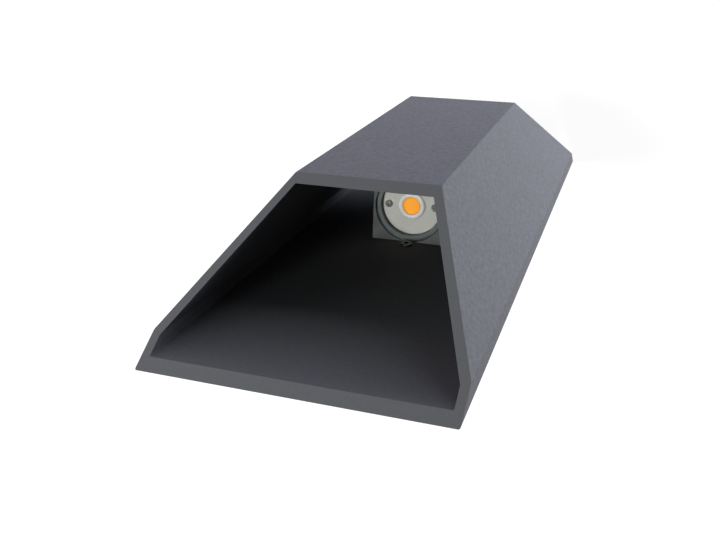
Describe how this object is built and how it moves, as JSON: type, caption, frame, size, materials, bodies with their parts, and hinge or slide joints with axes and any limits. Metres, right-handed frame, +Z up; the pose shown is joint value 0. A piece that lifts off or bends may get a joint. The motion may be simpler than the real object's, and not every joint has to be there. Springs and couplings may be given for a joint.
{
  "type": "outdoor wall sconce",
  "caption": "Up-and-down outdoor wall light: tapered aluminium tube shade with slanted open ends round a sealed LED box, on a wall bracket.",
  "frame": {"origin": "on the wall, at the middle of the wall bracket's back face, half way between its two wall screw holes", "axes": "+Z up as mounted, along the lamp's length; +X to the right as the lamp is seen from the front; +Y into the wall, so the lamp's front faces -Y"},
  "size_m": [0.12, 0.0565, 0.344],
  "materials": {
    "shade_coat": "fine sand-textured anthracite powder coat",
    "box_paint": "smooth dark grey paint, faintly brushed",
    "clear_glass": "clear tempered glass with ground edges",
    "seat_silicone": "dark blue-green silicone",
    "plate_white": "matt warm white solder mask",
    "ring_white": "satin white silicone dam",
    "phosphor": "satin yellow-orange phosphor gel",
    "dark_steel": "dull nickel plate",
    "zinc_steel": "bright zinc plate",
    "thermal_pad": "soft grey gap pad",
    "lamp_lead": "red and black lead sleeves",
    "supply_lead": "brown and blue lead sleeves",
    "earth_lead": "green and yellow lead sleeve",
    "driver_plastic": "moulded white plastic",
    "board_green": "green solder mask",
    "core_black": "black ferrite and tape",
    "capacitor_sleeve": "shrunk blue sleeve",
    "foam_tape": "white foam tape",
    "block_white": "moulded white polyamide",
    "brass": "turned brass",
    "seal_rubber": "black rubber",
    "bracket_zinc": "zinc-plated steel strip",
    "black_steel": "blackened steel"
  },
  "bodies": {
    "root": {"shade": "shade_coat", "lamp_box": "box_paint", "box_seal": "seal_rubber", "box_screws": "zinc_steel", "upper_glass": "clear_glass", "lower_glass": "clear_glass", "upper_glass_seal": "seat_silicone", "lower_glass_seal": "seat_silicone", "upper_led_plate": "plate_white", "lower_led_plate": "plate_white", "upper_led_ring": "ring_white", "lower_led_ring": "ring_white", "upper_led_emitter": "phosphor", "lower_led_emitter": "phosphor", "upper_plate_screws": "dark_steel", "lower_plate_screws": "dark_steel", "upper_thermal_pad": "thermal_pad", "lower_thermal_pad": "thermal_pad", "upper_lamp_leads": "lamp_lead", "lower_lamp_leads": "lamp_lead", "driver_case": "driver_plastic", "driver_cover": "driver_plastic", "driver_board": "board_green", "driver_transformer": "core_black", "driver_capacitor": "capacitor_sleeve", "driver_tape": "foam_tape", "terminal_block": "block_white", "terminal_sleeves": "brass", "terminal_screws": "zinc_steel", "supply_leads": "supply_lead", "earth_screw": "brass", "earth_washer": "zinc_steel", "earth_lug": "zinc_steel", "earth_lead": "earth_lead", "cable_grommet": "seal_rubber", "wall_bracket": "bracket_zinc", "upper_fixing_screw": "black_steel", "lower_fixing_screw": "black_steel"}
  },
  "joints": []
}
